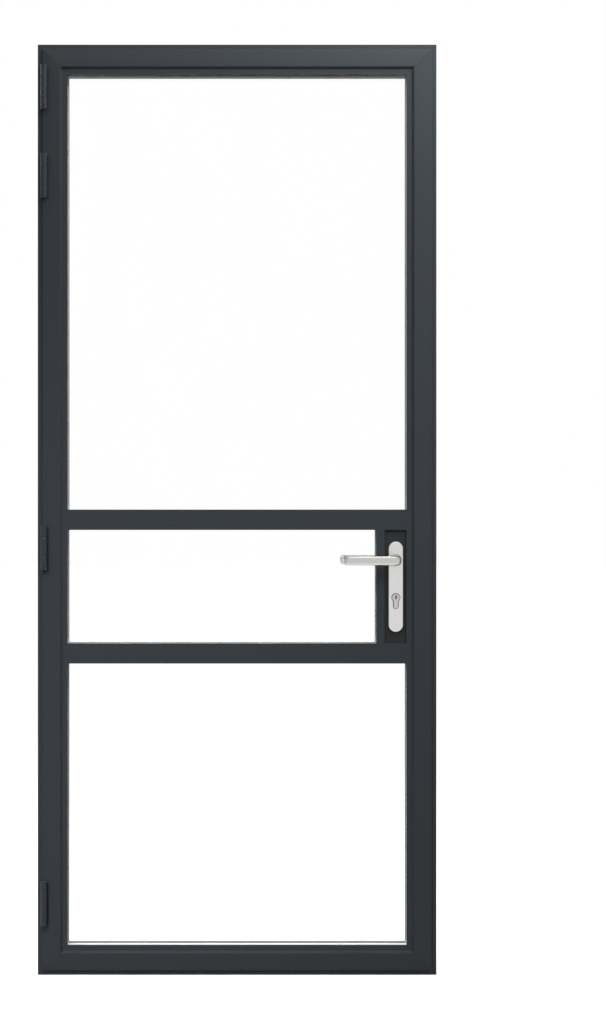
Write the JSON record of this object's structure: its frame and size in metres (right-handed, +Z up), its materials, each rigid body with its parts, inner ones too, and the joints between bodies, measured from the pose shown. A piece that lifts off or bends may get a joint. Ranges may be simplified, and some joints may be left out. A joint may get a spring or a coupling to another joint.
{
  "type": "glass door",
  "caption": "Hinged glass door leaf with glazed panels in a slim dark metal frame, with barrel hinges, a lever handle on a long plate and a key-operated lock.",
  "frame": {"origin": "middle of the sill's underside, halfway through the frame's depth", "axes": "+Z up, front of the door towards -Y, hinges at -X and handle at +X"},
  "size_m": [0.9, 0.161, 2.1],
  "materials": {
    "anthracite_paint": "satin",
    "clear_glass": "gloss",
    "bare_aluminium": "satin",
    "grey_spacer": "matte",
    "black_rubber": "matte",
    "block_plastic": "matte",
    "brushed_stainless": "satin",
    "plain_steel": "satin",
    "nickel_brass": "satin"
  },
  "bodies": {
    "frame": {"frame_corner_cleats": "bare_aluminium", "frame_head": "anthracite_paint", "frame_hinge_jamb": "anthracite_paint", "frame_lock_jamb": "anthracite_paint", "frame_screws": "plain_steel", "frame_sill": "anthracite_paint", "frame_stop_seal": "black_rubber", "hinge_1_frame_part": "anthracite_paint", "hinge_2_frame_part": "anthracite_paint", "hinge_3_frame_part": "anthracite_paint", "hinge_4_frame_part": "anthracite_paint", "hinge_pins": "plain_steel", "strike_plate": "brushed_stainless"},
    "leaf": {"cylinder_body": "nickel_brass", "cylinder_screw": "plain_steel", "front_backplate": "brushed_stainless", "front_glazing_gaskets": "black_rubber", "hinge_1_leaf_part": "anthracite_paint", "hinge_2_leaf_part": "anthracite_paint", "hinge_3_leaf_part": "anthracite_paint", "hinge_4_leaf_part": "anthracite_paint", "leaf_bottom_rail": "anthracite_paint", "leaf_corner_cleats": "bare_aluminium", "leaf_hinge_stile": "anthracite_paint", "leaf_lock_stile": "anthracite_paint", "leaf_overlap_seal": "black_rubber", "leaf_screws": "plain_steel", "leaf_top_rail": "anthracite_paint", "lock_box": "anthracite_paint", "lock_box_cover": "anthracite_paint", "lock_case": "brushed_stainless", "lock_mullion": "anthracite_paint", "lower_front_pane": "clear_glass", "lower_glazing_beads": "anthracite_paint", "lower_mid_rail": "anthracite_paint", "lower_rear_pane": "clear_glass", "lower_spacer": "grey_spacer", "middle_front_pane": "clear_glass", "middle_glazing_beads": "anthracite_paint", "middle_rear_pane": "clear_glass", "middle_spacer": "grey_spacer", "plate_bolts": "plain_steel", "rail_connectors": "bare_aluminium", "rear_backplate": "brushed_stainless", "rear_glazing_gaskets": "black_rubber", "setting_blocks": "block_plastic", "upper_front_pane": "clear_glass", "upper_glazing_beads": "anthracite_paint", "upper_mid_rail": "anthracite_paint", "upper_rear_pane": "clear_glass", "upper_spacer": "grey_spacer"},
    "handle": {"front_lever": "brushed_stainless", "rear_lever": "brushed_stainless", "spindle": "plain_steel", "lock_follower": "plain_steel"},
    "latch": {"latch_bolt": "plain_steel"},
    "deadbolt": {"deadbolt": "plain_steel"},
    "front_key_plug": {"cylinder_front_plug": "nickel_brass", "cylinder_cam": "nickel_brass"},
    "rear_key_plug": {"cylinder_rear_plug": "nickel_brass"}
  },
  "joints": [
    {"name": "door_swing", "type": "hinge", "parent": "frame", "child": "leaf", "pos_m": [-0.435, -0.049, 1.05], "axis": [0, 0, -1], "range_deg": [0, 170]},
    {"name": "handle_turn", "type": "hinge", "parent": "leaf", "child": "handle", "pos_m": [0.358, -0.015, 0.936], "axis": [0, -1, 0], "range_deg": [0, 40], "stiffness_Nm_per_rad": 2, "springref_deg": -34.38},
    {"name": "latch_slide", "type": "slide", "parent": "leaf", "child": "latch", "axis": [1, 0, 0], "range_m": [-0.0105, 0]},
    {"name": "front_key_turn", "type": "hinge", "parent": "leaf", "child": "front_key_plug", "pos_m": [0.358, -0.015, 0.852], "axis": [0, -1, 0], "range_deg": [0, 360]},
    {"name": "deadbolt_slide", "type": "slide", "parent": "leaf", "child": "deadbolt", "axis": [1, 0, 0], "range_m": [0, 0.02]},
    {"name": "rear_key_turn", "type": "hinge", "parent": "leaf", "child": "rear_key_plug", "pos_m": [0.358, -0.015, 0.852], "axis": [0, -1, 0], "range_deg": [0, 360]}
  ],
  "couplings": [
    {"joint": "latch_slide", "follows": "handle_turn", "m_per_rad": -0.015},
    {"joint": "front_key_turn", "follows": "deadbolt_slide", "rad_per_m": 314.16}
  ]
}
